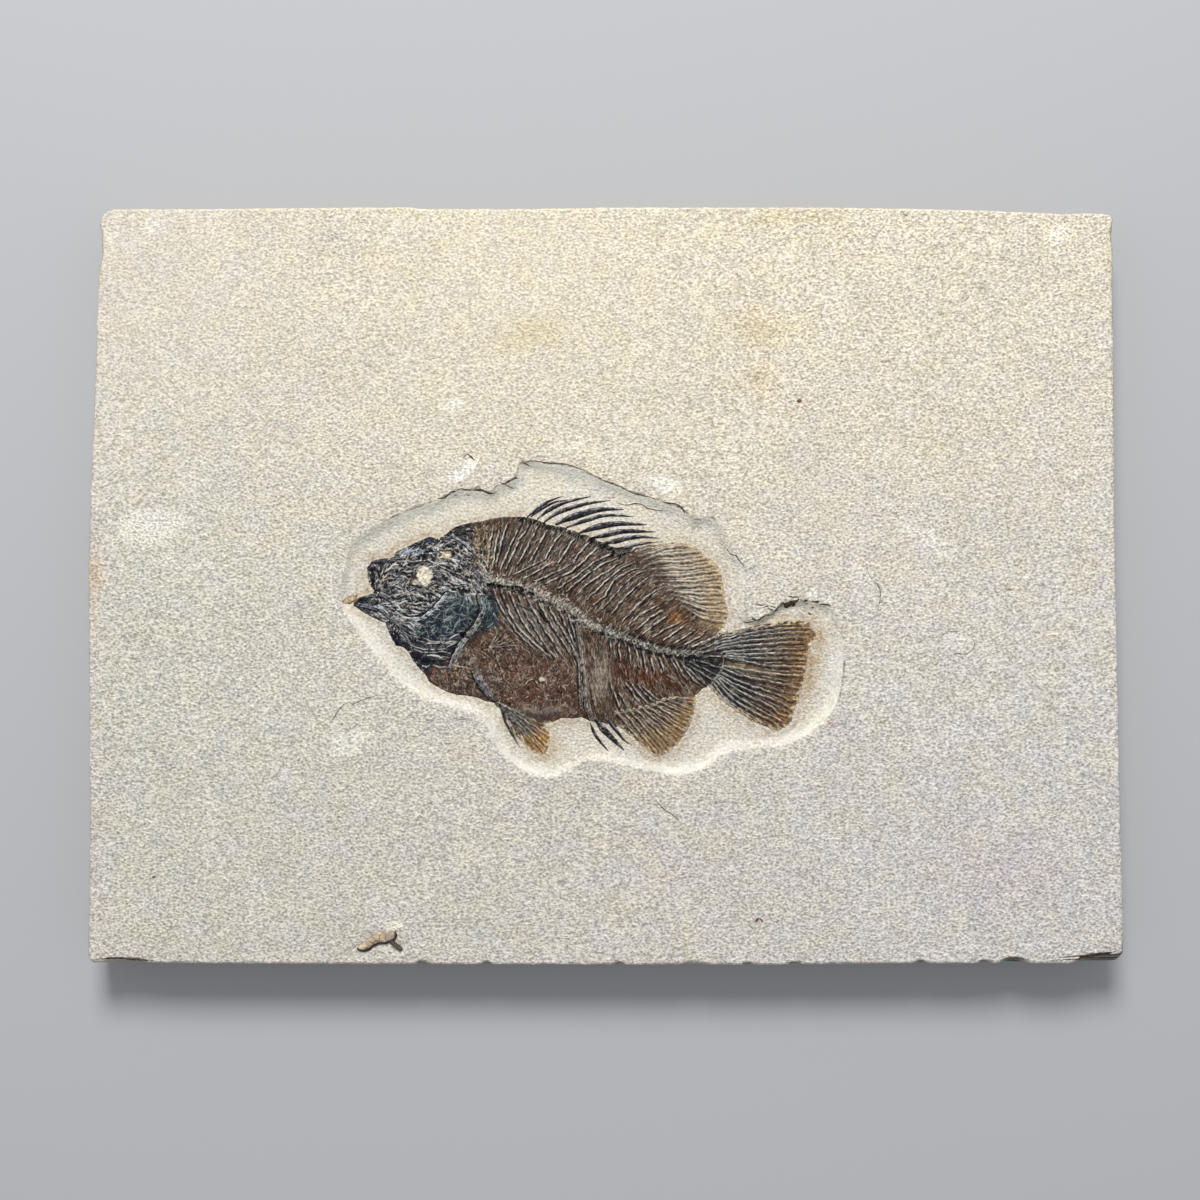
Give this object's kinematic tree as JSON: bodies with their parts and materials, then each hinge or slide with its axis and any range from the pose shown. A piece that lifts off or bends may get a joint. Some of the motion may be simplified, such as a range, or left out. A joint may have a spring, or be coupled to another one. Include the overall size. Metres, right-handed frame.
{
  "type": "fossil fish slab",
  "caption": "Flat rectangular limestone slab whose face is scraped down round a dark, flattened, spiny-finned fossil fish with its bones and fin rays in relief.",
  "frame": {"origin": "middle of the slab's flat back, at the bottom centre of the bounding box", "axes": "+X from the fish's snout to its tail along the slab's long side, +Y towards the fish's back fin, +Z out of the fish's face"},
  "size_m": [0.3059, 0.224, 0.0191],
  "materials": {
    "limestone": "matt split and scraped limestone, finely pitted",
    "fossil_bone": "dark brown to blue-black mineralised bone, dull to satin",
    "coprolite": "dull brown mineralised lump"
  },
  "bodies": {
    "root": {"limestone_slab": "limestone", "fossil_fish": "fossil_bone", "coprolite": "coprolite"}
  },
  "joints": []
}
